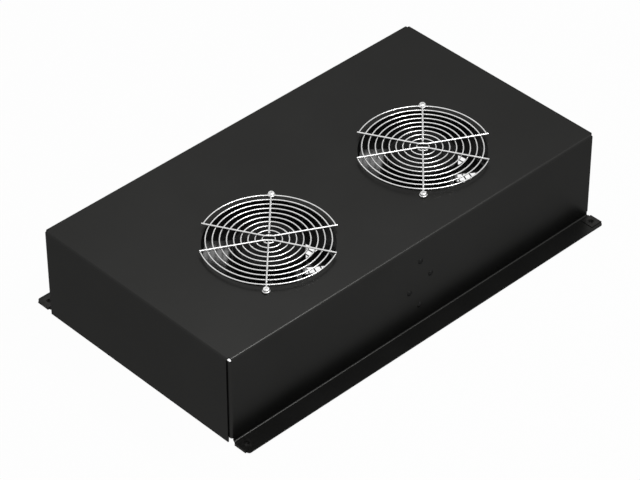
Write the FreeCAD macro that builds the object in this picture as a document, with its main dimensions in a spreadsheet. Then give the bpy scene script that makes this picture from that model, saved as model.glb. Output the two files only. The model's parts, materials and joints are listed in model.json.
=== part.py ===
"""Rack fan tray: folded sheet housing with two axial fans, guards and wiring.

Frame: origin in the plane of the flanges' upper faces, at the middle of the mounting screws.
+X runs along the housing, +Y across it towards the wider margin beside the fans, +Z up.
Sizes are in millimetres.
"""
import FreeCAD, Part
import math
import os
import re
import Sketcher

V = FreeCAD.Vector
CCW = 1
CW = -1

# Driving dimensions: alias, value, meaning.
DIMENSIONS = [
    ("tray_length", 554.0, "housing over the short walls"),
    ("tray_width", 295.0, "housing over the long walls"),
    ("tray_height", 115.0, "flange underside to panel top"),
    ("sheet_gauge", 1.5, "housing sheet"),
    ("bend_inner", 1.5, "inner radius of every housing bend"),
    ("flange_width", 24.0, "flange from the long wall's outer face"),
    ("flange_inset", 3.5, "flange end back from the short wall's face"),
    ("flange_corner", 3.0, "flange corner radius"),
    ("corner_strip", 4.5, "short wall's edge back from the long wall's face"),
    ("return_tab", 16.0, "corner tab behind the short wall"),
    ("corner_gap", 0.8, "corner tab's top below the panel bend"),
    ("fan_spacing", 233.6, "between the fan axes"),
    ("fan_offset", -36.0, "fan axes from the housing's middle line"),
    ("opening_radius", 72.5, "fan opening in the panel"),
    ("ear_angle", 45.0, "fan ears from the housing's length"),
    ("fan_depth", 51.0, "fan over its two flanges"),
    ("fan_long", 172.0, "fan flange across the ears"),
    ("fan_short", 150.0, "fan flange across the flats"),
    ("fan_flange", 4.0, "fan flange thickness"),
    ("duct_bore", 73.0, "fan duct inner radius"),
    ("duct_wall", 2.0, "fan duct wall"),
    ("rib_offset", 11.25, "duct ribs from the ear axis"),
    ("ear_radius", 81.0, "fan screws from the fan axis"),
    ("screw_clear", 2.25, "clearance hole radius for the fan screws"),
    ("strut_width", 5.0, "fan strut width"),
    ("strut_height", 6.0, "fan strut height"),
    ("plate_radius", 37.5, "motor plate radius"),
    ("plate_gauge", 3.5, "motor plate thickness"),
    ("window_height", 9.0, "fan frame's opening for the terminals"),
    ("tube_radius", 9.5, "bearing tube outer radius"),
    ("tube_top", 40.0, "bearing tube top above the fan's lower face"),
    ("bearing_radius", 8.0, "bearing outer radius"),
    ("bearing_width", 5.0, "bearing width"),
    ("bearing_low", 5.0, "lower bearing above the fan's lower face"),
    ("race_wall", 1.2, "bearing races"),
    ("shield_depth", 0.4, "bearing shields in from the races' faces"),
    ("cap_low", 0.3, "motor cap above the fan's lower face"),
    ("cap_height", 2.0, "motor cap height"),
    ("cap_gauge", 0.8, "motor cap sheet"),
    ("shaft_low", 2.6, "shaft's lower end above the fan's lower face"),
    ("shaft_drop", 1.1, "shaft's upper end below the rotor can's sheet"),
    ("shaft_chamfer", 0.3, "shaft's edges"),
    ("groove_low", 3.7, "shaft groove above the fan's lower face"),
    ("groove_width", 0.7, "shaft groove"),
    ("groove_depth", 0.5, "shaft groove depth"),
    ("ring_reach", 2.0, "shaft ring out from the shaft"),
    ("ring_gap", 2.4, "shaft ring's opening"),
    ("shaft_radius", 2.5, "motor shaft radius"),
    ("running_gap", 0.03, "shaft in bearing, radial"),
    ("seat_gap", 0.05, "pressed or pushed seats, radial"),
    ("stator_radius", 27.0, "stator core outer radius"),
    ("stator_low", 12.0, "stator core above the fan's lower face"),
    ("stator_stack", 18.0, "stator core height"),
    ("stator_slots", 8, "stator slots"),
    ("slot_floor", 13.5, "stator slots' inner end from the axis"),
    ("slot_roof", 24.8, "stator slots' wide part ends, from the axis"),
    ("slot_width", 6.0, "stator slot width"),
    ("slot_mouth", 2.2, "stator slot mouth"),
    ("turns_inset", 2.0, "end turns from the bearing tube"),
    ("turns_margin", 3.0, "end turns in from the stator core's edge"),
    ("turns_round", 2.0, "end turns' rounded edges"),
    ("turns_lift", 1.5, "lower end turns above the motor plate"),
    ("turns_gap", 0.3, "end turns from the stator core"),
    ("turns_height", 7.0, "upper end turns' top above the stator core"),
    ("air_gap", 0.5, "stator to rotor core"),
    ("can_radius", 38.25, "rotor can outer radius"),
    ("can_gauge", 1.5, "rotor can sheet"),
    ("can_low", 8.0, "rotor can rim above the fan's lower face"),
    ("can_recess", 0.5, "rotor can's face below the fan's upper face"),
    ("can_edge", 3.0, "rotor can's outer edge radius"),
    ("dimple_radius", 9.0, "rotor can's dimple"),
    ("dimple_depth", 0.8, "rotor can's dimple depth"),
    ("boss_radius", 6.0, "rotor can's boss on the shaft"),
    ("boss_clear", 1.5, "rotor can's boss above the bearing tube"),
    ("cage_reach", 3.0, "rotor core's rings beyond the stator core"),
    ("cage_step", 1.0, "rotor core's rings outside its bore"),
    ("sleeve_gauge", 1.2, "blade sleeve on the rotor can"),
    ("sleeve_margin", 1.0, "blade sleeve's ends in from the can's straight wall"),
    ("blade_count", 6, "blades of one impeller"),
    ("blade_phase", 32.3, "first blade from the ear axis, degrees"),
    ("blade_tip", 71.2, "blade tip radius"),
    ("blade_gauge", 1.2, "blade sheet"),
    ("blade_lead", 23.0, "blade lead over a radian"),
    ("blade_twist", 3.3, "extra pitch from hub to tip, degrees"),
    ("blade_sweep", 18.5, "blade tip ahead of its root"),
    ("blade_camber", 115.0, "blade camber radius"),
    ("root_chord", 45.7, "blade chord inside the hub"),
    ("tip_chord", 84.7, "blade chord past the tip"),
    ("blade_middle", 24.1, "blade middle above the fan's lower face"),
    ("root_depth", 8.45, "blades' first section inside the rotor can"),
    ("tip_margin", 2.0, "blades' last section past their tips"),
    ("guard_wire", 1.0, "guard spokes' and eyelets' wire radius"),
    ("ring_gauge", 0.8, "guard rings' wire radius"),
    ("ring_first", 7.0, "first guard ring radius"),
    ("ring_step", 7.6, "between guard rings"),
    ("guard_rings", 10, "rings of a guard, the last one cut"),
    ("top_rise", 4.7, "top guard's rings above the seat"),
    ("lower_rise", 1.4, "lower guard's rings above the seat"),
    ("spoke_step", 1.6, "guard spokes' wire centres above the rings'"),
    ("eyelet_radius", 3.6, "guard eyelet's wire centre radius"),
    ("weld_reach", 0.8, "spoke's end short of the eyelet's wire centre, in wire radii"),
    ("spoke_bend", 4.0, "spoke's bend in from its end"),
    ("side_end", 76.6, "side wires' ends from the fan axis"),
    ("side_angle", 72.2, "side wires' ends from the ear axis"),
    ("side_offset", 3.7, "side wires' middles from the fan axis"),
    ("side_flat", 5.0, "half of a side wire's middle, which is straight across"),
    ("fan_screw_length", 12.0, "fan screw under the head"),
    ("fan_thread", 2.0, "fan screw thread radius"),
    ("fan_screw_chamfer", 0.4, "fan screw's end"),
    ("pan_radius", 3.8, "fan screw head radius"),
    ("pan_rim", 1.2, "fan screw head's upright rim"),
    ("pan_round", 2.0, "fan screw head's shoulder"),
    ("pan_flat", 2.6, "fan screw head's flat top, radius"),
    ("pan_height", 2.6, "fan screw head height"),
    ("recess_width", 0.9, "fan screw recess, arm"),
    ("recess_span", 4.0, "fan screw recess over its arms"),
    ("recess_depth", 1.4, "fan screw recess depth"),
    ("fan_nut", 7.0, "fan nut across flats"),
    ("nut_height", 3.2, "nuts of the small screws"),
    ("mount_inset", 7.5, "mounting screws in from the flange ends"),
    ("clip_width", 16.0, "clip nut width"),
    ("clip_leaf", 0.7, "clip nut sheet"),
    ("clip_reach", 14.0, "clip nut leaf from the flange end"),
    ("clip_slack", 0.8, "flange end to the clip nut's fold"),
    ("clip_barrel", 4.2, "clip nut barrel radius"),
    ("clip_barrel_drop", 3.5, "clip nut barrel below its leaf"),
    ("clip_collar", 3.4, "clip nut collar in the flange hole, radius"),
    ("mount_hole", 2.5, "thread of the mounting screws, radius"),
    ("flange_hole", 3.6, "flange hole radius"),
    ("wiring_x", 1.4, "junction box's middle along the housing"),
    ("wiring_drop", 56.3, "junction box's middle below the panel"),
    ("box_length", 64.0, "junction box along the wall"),
    ("box_height", 49.0, "junction box height"),
    ("box_depth", 42.0, "junction box from the wall"),
    ("box_gauge", 1.0, "junction box sheet"),
    ("ear_height", 12.0, "junction box ear"),
    ("ear_width", 24.0, "junction box ear width"),
    ("ear_round", 3.0, "junction box ear corners"),
    ("cover_screw_pitch", 61.0, "between the junction box screws"),
    ("block_screw_x", 32.1, "between the terminal block screws, along"),
    ("block_screw_z", 10.5, "between the terminal block screws, upright"),
    ("block_length", 44.0, "terminal block along the wall"),
    ("block_width", 20.0, "terminal block, upright"),
    ("block_depth", 15.0, "terminal block from the wall"),
    ("pole_pitch", 7.5, "between the terminal block's poles"),
    ("pole_row", 5.0, "clamp screws from the terminal block's middle line"),
    ("well_radius", 2.4, "terminal block wells"),
    ("well_depth", 8.0, "terminal block wells and nut seats, depth"),
    ("entry_depth", 5.0, "wire entries from the wall"),
    ("entry_radius", 1.8, "wire entries"),
    ("nut_seat", 3.6, "terminal block's nut seats, radius"),
    ("clamp_low", 7.3, "clamp screws' heads from the wall"),
    ("clamp_height", 3.7, "clamp screws' heads"),
    ("clamp_radius", 2.1, "clamp screws' heads, radius"),
    ("clamp_slot", 0.6, "clamp screws' slots"),
    ("clamp_slot_depth", 1.0, "clamp screws' slots, depth"),
    ("wall_hole", 2.2, "junction box screw holes, radius"),
    ("wall_thread", 1.9, "wall screw thread radius"),
    ("low_head", 3.4, "wall screw head radius"),
    ("low_head_flat", 1.6, "wall screw head's flat, radius"),
    ("low_head_round", 3.2, "wall screw head's dome"),
    ("low_head_height", 1.4, "wall screw head height"),
    ("cover_screw_length", 8.0, "junction box screws inside the wall"),
    ("block_screw_length", 13.0, "terminal block screws inside the wall"),
    ("wall_nut", 5.8, "wall screws' nuts across flats"),
    ("lead_radius", 2.0, "fan lead radius"),
    ("lead_depth", 34.0, "fan lead from the wall where it enters the box"),
    ("lead_end", 16.2, "fan leads' ends from the wall"),
    ("lead_end_x", 16.0, "fan leads' ends from the junction box's middle"),
    ("lead_end_drop", 8.0, "fan leads' ends below the plugs"),
    ("tab_height", 5.0, "fan terminals above the fan's lower face"),
    ("tab_pitch", 8.0, "between the fan terminals"),
    ("tab_width", 2.8, "fan terminal width"),
    ("tab_gauge", 0.5, "fan terminal sheet"),
    ("tab_root", 3.7, "fan terminals inside their insulator"),
    ("tab_length", 11.2, "fan terminals over all"),
    ("socket_width", 16.0, "fan terminals' insulator width"),
    ("socket_low", 1.0, "insulator above the fan's lower face"),
    ("socket_height", 6.0, "insulator height"),
    ("socket_reach", 3.5, "insulator in from the fan flange's flat"),
    ("socket_stand", 1.5, "insulator out from the fan flange's flat"),
    ("plug_gap", 0.3, "plug from the insulator"),
    ("plug_width", 15.0, "plug width"),
    ("plug_height", 7.6, "plug height"),
    ("plug_length", 10.0, "plug without its neck"),
    ("plug_round", 1.5, "plug edges"),
    ("plug_slack", 0.2, "terminals in the plug"),
    ("neck_radius", 3.6, "plug neck radius at the plug"),
    ("neck_length", 4.0, "plug neck"),
    ("neck_taper", 12.0, "plug neck's taper, degrees"),
    ("clip_x", 118.0, "lead clip along the housing"),
    ("clip_depth", 7.6, "lead from the wall in its clip"),
    ("clip_z", 53.0, "lead above the flanges in its clip"),
    ("clip_foot", 16.0, "lead clip's square foot"),
    ("clip_pad", 0.3, "lead clip's sticking pad"),
    ("clip_foot_gauge", 2.4, "lead clip's foot"),
    ("clip_wall", 2.0, "lead clip's loop round the lead"),
    ("clip_loop", 6.0, "lead clip's loop along the lead"),
    ("grommet_hole", 5.0, "junction box hole for the lead, radius"),
    ("grommet_width", 5.0, "grommet along the lead"),
    ("grommet_rim", 1.5, "grommet past its hole"),
    ("grommet_slack", 0.1, "grommet's groove from the sheet"),
    ("gland_thread", 8.0, "cable gland thread radius"),
    ("gland_bore", 4.5, "cable gland bore radius"),
    ("gland_depth", 22.0, "cable gland from the wall"),
    ("gland_inside", 6.0, "cable gland's thread inside the box"),
    ("gland_length", 16.0, "cable gland's thread over all"),
    ("gland_hexagon", 19.0, "cable gland across flats"),
    ("gland_collar", 5.0, "cable gland's own hexagon"),
    ("locknut_height", 4.0, "cable gland's locknut"),
    ("dome_gap", 0.3, "dome nut below the gland's hexagon"),
    ("dome_nut_height", 7.0, "dome nut's hexagon"),
    ("dome_shoulder", 1.0, "dome nut's taper starts outside the thread"),
    ("dome_height", 5.0, "dome nut's taper, length"),
    ("dome_taper", 20.0, "dome nut's taper, degrees"),
    ("stud_x", -62.0, "earth stud along the housing"),
    ("stud_z", 24.0, "earth stud above the flanges"),
    ("stud_radius", 2.5, "earth stud radius"),
    ("stud_length", 14.0, "earth stud from the wall"),
    ("stud_collar", 4.5, "earth stud's weld collar, radius"),
    ("stud_collar_height", 1.0, "earth stud's weld collar"),
    ("stud_nut", 8.0, "earth nut across flats"),
    ("stud_nut_height", 4.0, "earth nut"),
]
SIZES = {alias for alias, number, meaning in DIMENSIONS}

# Places worked out from the driving dimensions, as expressions.
OUTER_BEND = "(bend_inner + sheet_gauge)"
HALF_LENGTH = "(tray_length / 2)"
HALF_WIDTH = "(tray_width / 2)"
PANEL_TOP = "(tray_height - sheet_gauge)"
PANEL_UNDER = "(tray_height - 2 * sheet_gauge)"
FLAT_END = f"({HALF_LENGTH} - sheet_gauge - {OUTER_BEND})"
FAN_BASE = f"({PANEL_UNDER} - fan_depth)"
FLANGE_END = f"({HALF_LENGTH} - flange_inset)"
WALL_INSIDE = f"({HALF_WIDTH} - sheet_gauge)"
CAN_TOP = "(fan_depth - can_recess)"
CAN_INSIDE = "(can_radius - can_gauge)"
SLEEVE_RADIUS = "(can_radius + seat_gap + sleeve_gauge)"
MOUNT_X = f"({FLANGE_END} - mount_inset)"
MOUNT_Y = f"({HALF_WIDTH} + flange_width / 2)"
WIRING_Z = f"({PANEL_UNDER} - wiring_drop)"
BLADE_START = "(can_radius - root_depth)"
BLADE_END = "(blade_tip + tip_margin)"
PLUG_END = "(fan_short / 2 + socket_stand + plug_gap + plug_length + neck_length)"
LEAD_RISE = f"({FAN_BASE} + tab_height - {WIRING_Z})"

# Where the screws of the junction box and of its terminal block stand on the wall.
COVER_SCREWS = [("0", "cover_screw_pitch / 2"), ("0", "-cover_screw_pitch / 2")]
BLOCK_SCREWS = [("block_screw_x / 2", "-block_screw_z / 2"),
                ("-block_screw_x / 2", "block_screw_z / 2")]
POLE_PLACES = ["-pole_pitch", "0", "pole_pitch"]
POLES = [(x, y) for x in POLE_PLACES for y in ("pole_row", "-pole_row")]

# How the nodes lie.
UPRIGHT = FreeCAD.Rotation()
ON_FRONT_WALL = FreeCAD.Rotation(V(1, 0, 0), -90)

os.makedirs("parts", exist_ok=True)
doc = FreeCAD.newDocument("RackFanTray")
sheet = doc.addObject("Spreadsheet::Sheet", "Sizes")
for line, (alias, number, meaning) in enumerate(DIMENSIONS, 1):
    sheet.set(f"A{line}", alias)
    sheet.set(f"B{line}", str(number))
    sheet.setAlias(f"B{line}", alias)
    sheet.set(f"C{line}", meaning)
doc.recompute()
pieces = []


# ---------------------------------------------------------------- helpers

def sized(expression):
    """Spell out an expression that is written with bare aliases."""
    def spell(match):
        word = match.group(0)
        return "Sizes." + word if word in SIZES else word
    return re.sub(r"[a-z]\w*", spell, expression)


def value(expression):
    """The number that an expression gives."""
    return float(sheet.evalExpression(sized(expression)))


def bind(thing, path, expression):
    """Tie a property to the sheet."""
    thing.setExpression(path, sized(expression))


def place(thing, x, y, z, turn=UPRIGHT):
    """Put a piece at a place tied to the sheet."""
    thing.Placement = FreeCAD.Placement(V(value(x), value(y), value(z)), turn)
    for axis, expression in zip("xyz", (x, y, z)):
        bind(thing, "Placement.Base." + axis, expression)


def body(label, x="0", y="0", z="0", turn=UPRIGHT):
    """Start a sub-part that is made with part design features."""
    piece = doc.addObject("PartDesign::Body", label)
    place(piece, x, y, z, turn)
    pieces.append(piece)
    return piece


def origin_feature(piece, role):
    return next(item for item in piece.Origin.OriginFeatures if item.Role == role)


def sketch(piece, plane, name, rise="0"):
    """An empty sketch on one of the body's origin planes, moved along its normal."""
    drawing = piece.newObject("Sketcher::SketchObject", f"{piece.Name}_{name}")
    drawing.AttachmentSupport = [(origin_feature(piece, plane), "")]
    drawing.MapMode = "FlatFace"
    bind(drawing, "AttachmentOffset.Base.z", rise)
    return drawing


def arc_edge(start, end, turn, radius):
    """The shorter arc from start to end, and the numbers of its start and end vertices."""
    chord = end - start
    left = V(-chord.y, chord.x, 0).normalize()
    height = math.sqrt(max(radius ** 2 - chord.Length ** 2 / 4, 0))
    centre = start + chord * 0.5 + left * height * turn
    first, last = (start, end) if turn == CCW else (end, start)
    low = math.atan2(first.y - centre.y, first.x - centre.x)
    high = math.atan2(last.y - centre.y, last.x - centre.x)
    if high < low:
        high += 2 * math.pi
    arc = Part.ArcOfCircle(Part.Circle(centre, V(0, 0, 1), radius), low, high)
    return arc, ((1, 2) if turn == CCW else (2, 1))


def tie(drawing, kind, where, expression):
    """Add one dimension to a sketch and tie it to the sheet."""
    number = drawing.addConstraint(Sketcher.Constraint(kind, *where, value(expression)))
    bind(drawing, f"Constraints[{number}]", expression)


def outline(drawing, corners, flip_x=1, flip_y=1):
    """A closed outline whose corners and arc radii are tied to the sheet.

    A corner is (x, y), or (x, y, turn, radius) where the edge that follows it is an arc.
    """
    places = []
    for corner in corners:
        x = corner[0] if flip_x == 1 else f"-({corner[0]})"
        y = corner[1] if flip_y == 1 else f"-({corner[1]})"
        places.append((x, y))
    spots = [V(value(x), value(y), 0) for x, y in places]
    edges = []
    for number, corner in enumerate(corners):
        start = spots[number]
        end = spots[(number + 1) % len(spots)]
        ends = (1, 2)
        if len(corner) == 2:
            edge = Part.LineSegment(start, end)
        else:
            edge, ends = arc_edge(start, end, corner[2] * flip_x * flip_y, value(corner[3]))
        edges.append((drawing.addGeometry(edge), ends))
    for number, (edge, ends) in enumerate(edges):
        following, following_ends = edges[(number + 1) % len(edges)]
        meeting = (edge, ends[1], following, following_ends[0])
        drawing.addConstraint(Sketcher.Constraint("Coincident", *meeting))
        tie(drawing, "DistanceX", (-1, 1, edge, ends[0]), places[number][0])
        tie(drawing, "DistanceY", (-1, 1, edge, ends[0]), places[number][1])
        if len(corners[number]) == 4:
            tie(drawing, "Radius", (edge,), corners[number][3])
    return drawing


def circle(drawing, x, y, radius):
    """A circle tied to the sheet."""
    centre = V(value(x), value(y), 0)
    edge = drawing.addGeometry(Part.Circle(centre, V(0, 0, 1), value(radius)))
    tie(drawing, "DistanceX", (-1, 1, edge, 3), x)
    tie(drawing, "DistanceY", (-1, 1, edge, 3), y)
    tie(drawing, "Radius", (edge,), radius)
    return drawing


def rectangle(drawing, left, low, right, high, flip_x=1, flip_y=1):
    corners = [(left, low), (right, low), (right, high), (left, high)]
    return outline(drawing, corners, flip_x, flip_y)


def pad(piece, drawing, length, symmetric=False, reverse=False):
    feature = piece.newObject("PartDesign::Pad", drawing.Name + "_pad")
    feature.Profile = drawing
    feature.SideType = "Symmetric" if symmetric else "One side"
    feature.Reversed = reverse
    bind(feature, "Length", length)
    return feature


def pocket(piece, drawing, length, symmetric=False, reverse=False):
    feature = piece.newObject("PartDesign::Pocket", drawing.Name + "_pocket")
    feature.Profile = drawing
    feature.SideType = "Symmetric" if symmetric else "One side"
    feature.Reversed = reverse
    bind(feature, "Length", length)
    return feature


def revolve(piece, drawing, kind="PartDesign::Revolution"):
    """Turn a profile about its sketch's upright axis."""
    feature = piece.newObject(kind, drawing.Name + "_turned")
    feature.Profile = drawing
    feature.ReferenceAxis = (drawing, ["V_Axis"])
    feature.Angle = 360
    return feature


def polar(piece, originals, count):
    """Repeat features about the body's Z axis."""
    feature = piece.newObject("PartDesign::PolarPattern", originals[0].Name + "_ring")
    feature.Originals = originals
    feature.Axis = (origin_feature(piece, "Z_Axis"), [""])
    feature.Angle = 360
    bind(feature, "Occurrences", count)
    piece.Tip = feature
    return feature


def mirror(piece, originals, plane):
    feature = piece.newObject("PartDesign::Mirrored", originals[0].Name + "_mirror")
    feature.Originals = originals
    feature.MirrorPlane = (origin_feature(piece, plane), [""])
    piece.Tip = feature
    return feature


def fillet(piece, radius, chosen):
    """Round those edges of the body that the test picks."""
    doc.recompute()
    base = piece.Tip
    names = [f"Edge{n}" for n, edge in enumerate(base.Shape.Edges, 1) if chosen(edge)]
    feature = piece.newObject("PartDesign::Fillet", base.Name + "_rounded")
    feature.Base = (base, names)
    bind(feature, "Radius", radius)
    return feature


def fused(label, shapes, x, y, z, turn):
    """A sub-part joined from primitives."""
    piece = doc.addObject("Part::MultiFuse", label)
    piece.Shapes = shapes
    place(piece, x, y, z, turn)
    pieces.append(piece)
    return piece


# ---------------------------------------------------------------- housing

def make_enclosure():
    """One folded sheet: panel, long walls with flanges, short walls, corner tabs."""
    piece = body("enclosure")

    section = sketch(piece, "YZ_Plane", "long_wall")
    outline(section, [
        ("0", PANEL_TOP),
        (f"{HALF_WIDTH} - {OUTER_BEND}", PANEL_TOP, CW, OUTER_BEND),
        (HALF_WIDTH, f"{PANEL_TOP} - {OUTER_BEND}"),
        (HALF_WIDTH, "bend_inner", CCW, "bend_inner"),
        (f"{HALF_WIDTH} + bend_inner", "0"),
        (f"{HALF_WIDTH} + bend_inner + sheet_gauge", "0"),
        (f"{HALF_WIDTH} + bend_inner + sheet_gauge", "-sheet_gauge"),
        (f"{HALF_WIDTH} + bend_inner", "-sheet_gauge", CW, OUTER_BEND),
        (WALL_INSIDE, "bend_inner"),
        (WALL_INSIDE, f"{PANEL_TOP} - {OUTER_BEND}", CCW, "bend_inner"),
        (f"{HALF_WIDTH} - {OUTER_BEND}", PANEL_UNDER),
        ("0", PANEL_UNDER),
    ])
    long_wall = pad(piece, section, f"2 * {FLAT_END}", symmetric=True)
    mirror(piece, [long_wall], "XZ_Plane")

    section = sketch(piece, "XZ_Plane", "short_wall")
    outline(section, [
        (f"{FLAT_END} - sheet_gauge", PANEL_TOP),
        (f"{HALF_LENGTH} - {OUTER_BEND}", PANEL_TOP, CW, OUTER_BEND),
        (HALF_LENGTH, f"{PANEL_TOP} - {OUTER_BEND}"),
        (HALF_LENGTH, "-sheet_gauge"),
        (f"{HALF_LENGTH} - sheet_gauge", "-sheet_gauge"),
        (f"{HALF_LENGTH} - sheet_gauge", f"{PANEL_TOP} - {OUTER_BEND}", CCW, "bend_inner"),
        (f"{HALF_LENGTH} - {OUTER_BEND}", PANEL_UNDER),
        (f"{FLAT_END} - sheet_gauge", PANEL_UNDER),
    ])
    short_wall = pad(piece, section, "tray_width - 2 * corner_strip", symmetric=True)
    mirror(piece, [short_wall], "YZ_Plane")

    tab_low = f"({OUTER_BEND} + sheet_gauge)"
    section = sketch(piece, "XY_Plane", "corner_tabs", tab_low)
    for flip_x in (1, -1):
        for flip_y in (1, -1):
            outline(section, [
                (f"{FLAT_END} - sheet_gauge", HALF_WIDTH),
                (FLAT_END, HALF_WIDTH, CW, OUTER_BEND),
                (f"{FLAT_END} + {OUTER_BEND}", f"{HALF_WIDTH} - {OUTER_BEND}"),
                (f"{FLAT_END} + {OUTER_BEND}", f"{HALF_WIDTH} - return_tab"),
                (f"{FLAT_END} + bend_inner", f"{HALF_WIDTH} - return_tab"),
                (f"{FLAT_END} + bend_inner", f"{HALF_WIDTH} - {OUTER_BEND}", CCW, "bend_inner"),
                (FLAT_END, WALL_INSIDE),
                (f"{FLAT_END} - sheet_gauge", WALL_INSIDE),
            ], flip_x, flip_y)
    pad(piece, section, f"{PANEL_TOP} - {OUTER_BEND} - corner_gap - {tab_low}")

    section = sketch(piece, "XY_Plane", "flanges", "-sheet_gauge")
    edge = f"({HALF_WIDTH} + flange_width)"
    for flip_y in (1, -1):
        outline(section, [
            (f"-{FLANGE_END}", f"{HALF_WIDTH} + bend_inner"),
            (FLANGE_END, f"{HALF_WIDTH} + bend_inner"),
            (FLANGE_END, f"{edge} - flange_corner", CCW, "flange_corner"),
            (f"{FLANGE_END} - flange_corner", edge),
            (f"flange_corner - {FLANGE_END}", edge, CCW, "flange_corner"),
            (f"-{FLANGE_END}", f"{edge} - flange_corner"),
        ], 1, flip_y)
    pad(piece, section, "sheet_gauge")

    holes = sketch(piece, "XY_Plane", "flange_holes")
    for side_x in ("", "-"):
        for side_y in ("", "-"):
            circle(holes, f"{side_x}{MOUNT_X}", f"{side_y}{MOUNT_Y}", "flange_hole")
    pocket(piece, holes, "sheet_gauge")

    holes = sketch(piece, "XY_Plane", "panel_openings", PANEL_TOP)
    for side in ("", "-"):
        centre = f"({side}fan_spacing / 2)"
        circle(holes, centre, "fan_offset", "opening_radius")
        for sign in ("+", "-"):
            circle(holes, f"{centre} {sign} ear_radius * cos(ear_angle)",
                   f"fan_offset {sign} ear_radius * sin(ear_angle)", "screw_clear")
    pocket(piece, holes, "sheet_gauge")

    holes = sketch(piece, "XZ_Plane", "wall_holes", HALF_WIDTH)
    for sign in ("+", "-"):
        circle(holes, "wiring_x", f"{WIRING_Z} {sign} cover_screw_pitch / 2", "wall_hole")
        circle(holes, f"wiring_x {sign} block_screw_x / 2",
               f"{WIRING_Z} {sign} block_screw_z / 2", "wall_hole")
    pocket(piece, holes, "sheet_gauge")


def make_clip_nuts():
    """Four spring clip nuts pushed over the flange ends."""
    piece = body("clip_nuts")
    fold = f"({FLANGE_END} + clip_slack)"
    free = f"({FLANGE_END} - clip_reach)"
    lower = "(-sheet_gauge)"
    middle = "(-sheet_gauge / 2)"
    inside = "(sheet_gauge / 2)"
    outside = "(sheet_gauge / 2 + clip_leaf)"
    profile = sketch(piece, "XZ_Plane", "leaves", MOUNT_Y)
    for flip_x in (1, -1):
        outline(profile, [
            (free, "0"),
            (fold, "0", CW, inside),
            (f"{fold} + {inside}", middle, CW, inside),
            (fold, lower),
            (f"{free} - 2 * clip_leaf", lower),
            (f"{free} - 2 * clip_leaf", f"{lower} - clip_leaf"),
            (fold, f"{lower} - clip_leaf", CCW, outside),
            (f"{fold} + {outside}", middle, CCW, outside),
            (fold, "clip_leaf"),
            (free, "clip_leaf"),
        ], flip_x)
    leaves = pad(piece, profile, "clip_width", symmetric=True)
    barrels = sketch(piece, "XY_Plane", "barrels", f"{lower} - clip_leaf")
    collars = sketch(piece, "XY_Plane", "collars", lower)
    bores = sketch(piece, "XY_Plane", "bores")
    holes = sketch(piece, "XY_Plane", "holes", "clip_leaf")
    for side in ("", "-"):
        where = (f"{side}{MOUNT_X}", f"-{MOUNT_Y}")
        circle(barrels, *where, "clip_barrel")
        circle(collars, *where, "clip_collar")
        circle(bores, *where, "mount_hole")
        circle(holes, *where, "flange_hole")
    barrel = pad(piece, barrels, "clip_barrel_drop", reverse=True)
    collar = pad(piece, collars, "sheet_gauge")
    bore = pocket(piece, bores, "sheet_gauge + clip_leaf + clip_barrel_drop")
    hole = pocket(piece, holes, "clip_leaf")
    mirror(piece, [leaves, barrel, collar, bore, hole], "XZ_Plane")


# ---------------------------------------------------------------- fan, still pieces

def fan_turn():
    """The fan's ears lie at an angle to the housing."""
    return FreeCAD.Rotation(V(0, 0, 1), value("ear_angle"))


def fan_turn_over():
    """As the fan, but upside down about its ear axis."""
    return fan_turn().multiply(FreeCAD.Rotation(V(1, 0, 0), 180))


def flange_outline(drawing):
    """A circle across the ears, cut by two flats."""
    flat = "(sqrt(fan_long ^ 2 - fan_short ^ 2) / 2)"
    outline(drawing, [
        (flat, "fan_short / 2"),
        (f"-{flat}", "fan_short / 2", CCW, "fan_long / 2"),
        (f"-{flat}", "-fan_short / 2"),
        (flat, "-fan_short / 2", CCW, "fan_long / 2"),
    ])
    circle(drawing, "0", "0", "duct_bore")
    for side in ("", "-"):
        circle(drawing, f"{side}ear_radius", "0", "screw_clear")
    return drawing


def make_frame(fan, x):
    """Cast frame: duct between two flanges, ribs, struts, motor plate with its tube."""
    piece = body(f"{fan}_frame", x, "fan_offset", FAN_BASE, fan_turn())
    pad(piece, flange_outline(sketch(piece, "XY_Plane", "low_flange")), "fan_flange")
    upper = sketch(piece, "XY_Plane", "high_flange", "fan_depth - fan_flange")
    pad(piece, flange_outline(upper), "fan_flange")

    duct = sketch(piece, "XY_Plane", "duct")
    circle(duct, "0", "0", "duct_bore + duct_wall")
    circle(duct, "0", "0", "duct_bore")
    pad(piece, duct, "fan_depth")

    ribs = sketch(piece, "XY_Plane", "ribs")
    for flip_x in (1, -1):
        for flip_y in (1, -1):
            rectangle(ribs, "duct_bore", "rib_offset", "ear_radius + screw_clear",
                      "rib_offset + duct_wall", flip_x, flip_y)
    pad(piece, ribs, "fan_depth")

    strut = sketch(piece, "XY_Plane", "strut")
    rectangle(strut, "plate_radius - strut_width", "-strut_width / 2",
              "duct_bore + duct_wall / 2", "strut_width / 2")
    polar(piece, [pad(piece, strut, "strut_height")], "4")

    motor = sketch(piece, "XZ_Plane", "motor_plate")
    shoulder = "(bearing_radius - duct_wall)"
    outline(motor, [
        ("bearing_radius", "0"),
        ("plate_radius", "0"),
        ("plate_radius", "plate_gauge"),
        ("tube_radius", "plate_gauge"),
        ("tube_radius", "tube_top"),
        ("bearing_radius", "tube_top"),
        ("bearing_radius", "tube_top - bearing_width"),
        (shoulder, "tube_top - bearing_width"),
        (shoulder, "bearing_low + bearing_width"),
        ("bearing_radius", "bearing_low + bearing_width"),
    ])
    revolve(piece, motor)

    window = sketch(piece, "XY_Plane", "terminal_window", "window_height")
    rectangle(window, "-socket_width / 2 - seat_gap", "-fan_short",
              "socket_width / 2 + seat_gap", "2 * socket_reach - fan_short / 2")
    pocket(piece, window, "window_height")


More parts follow.
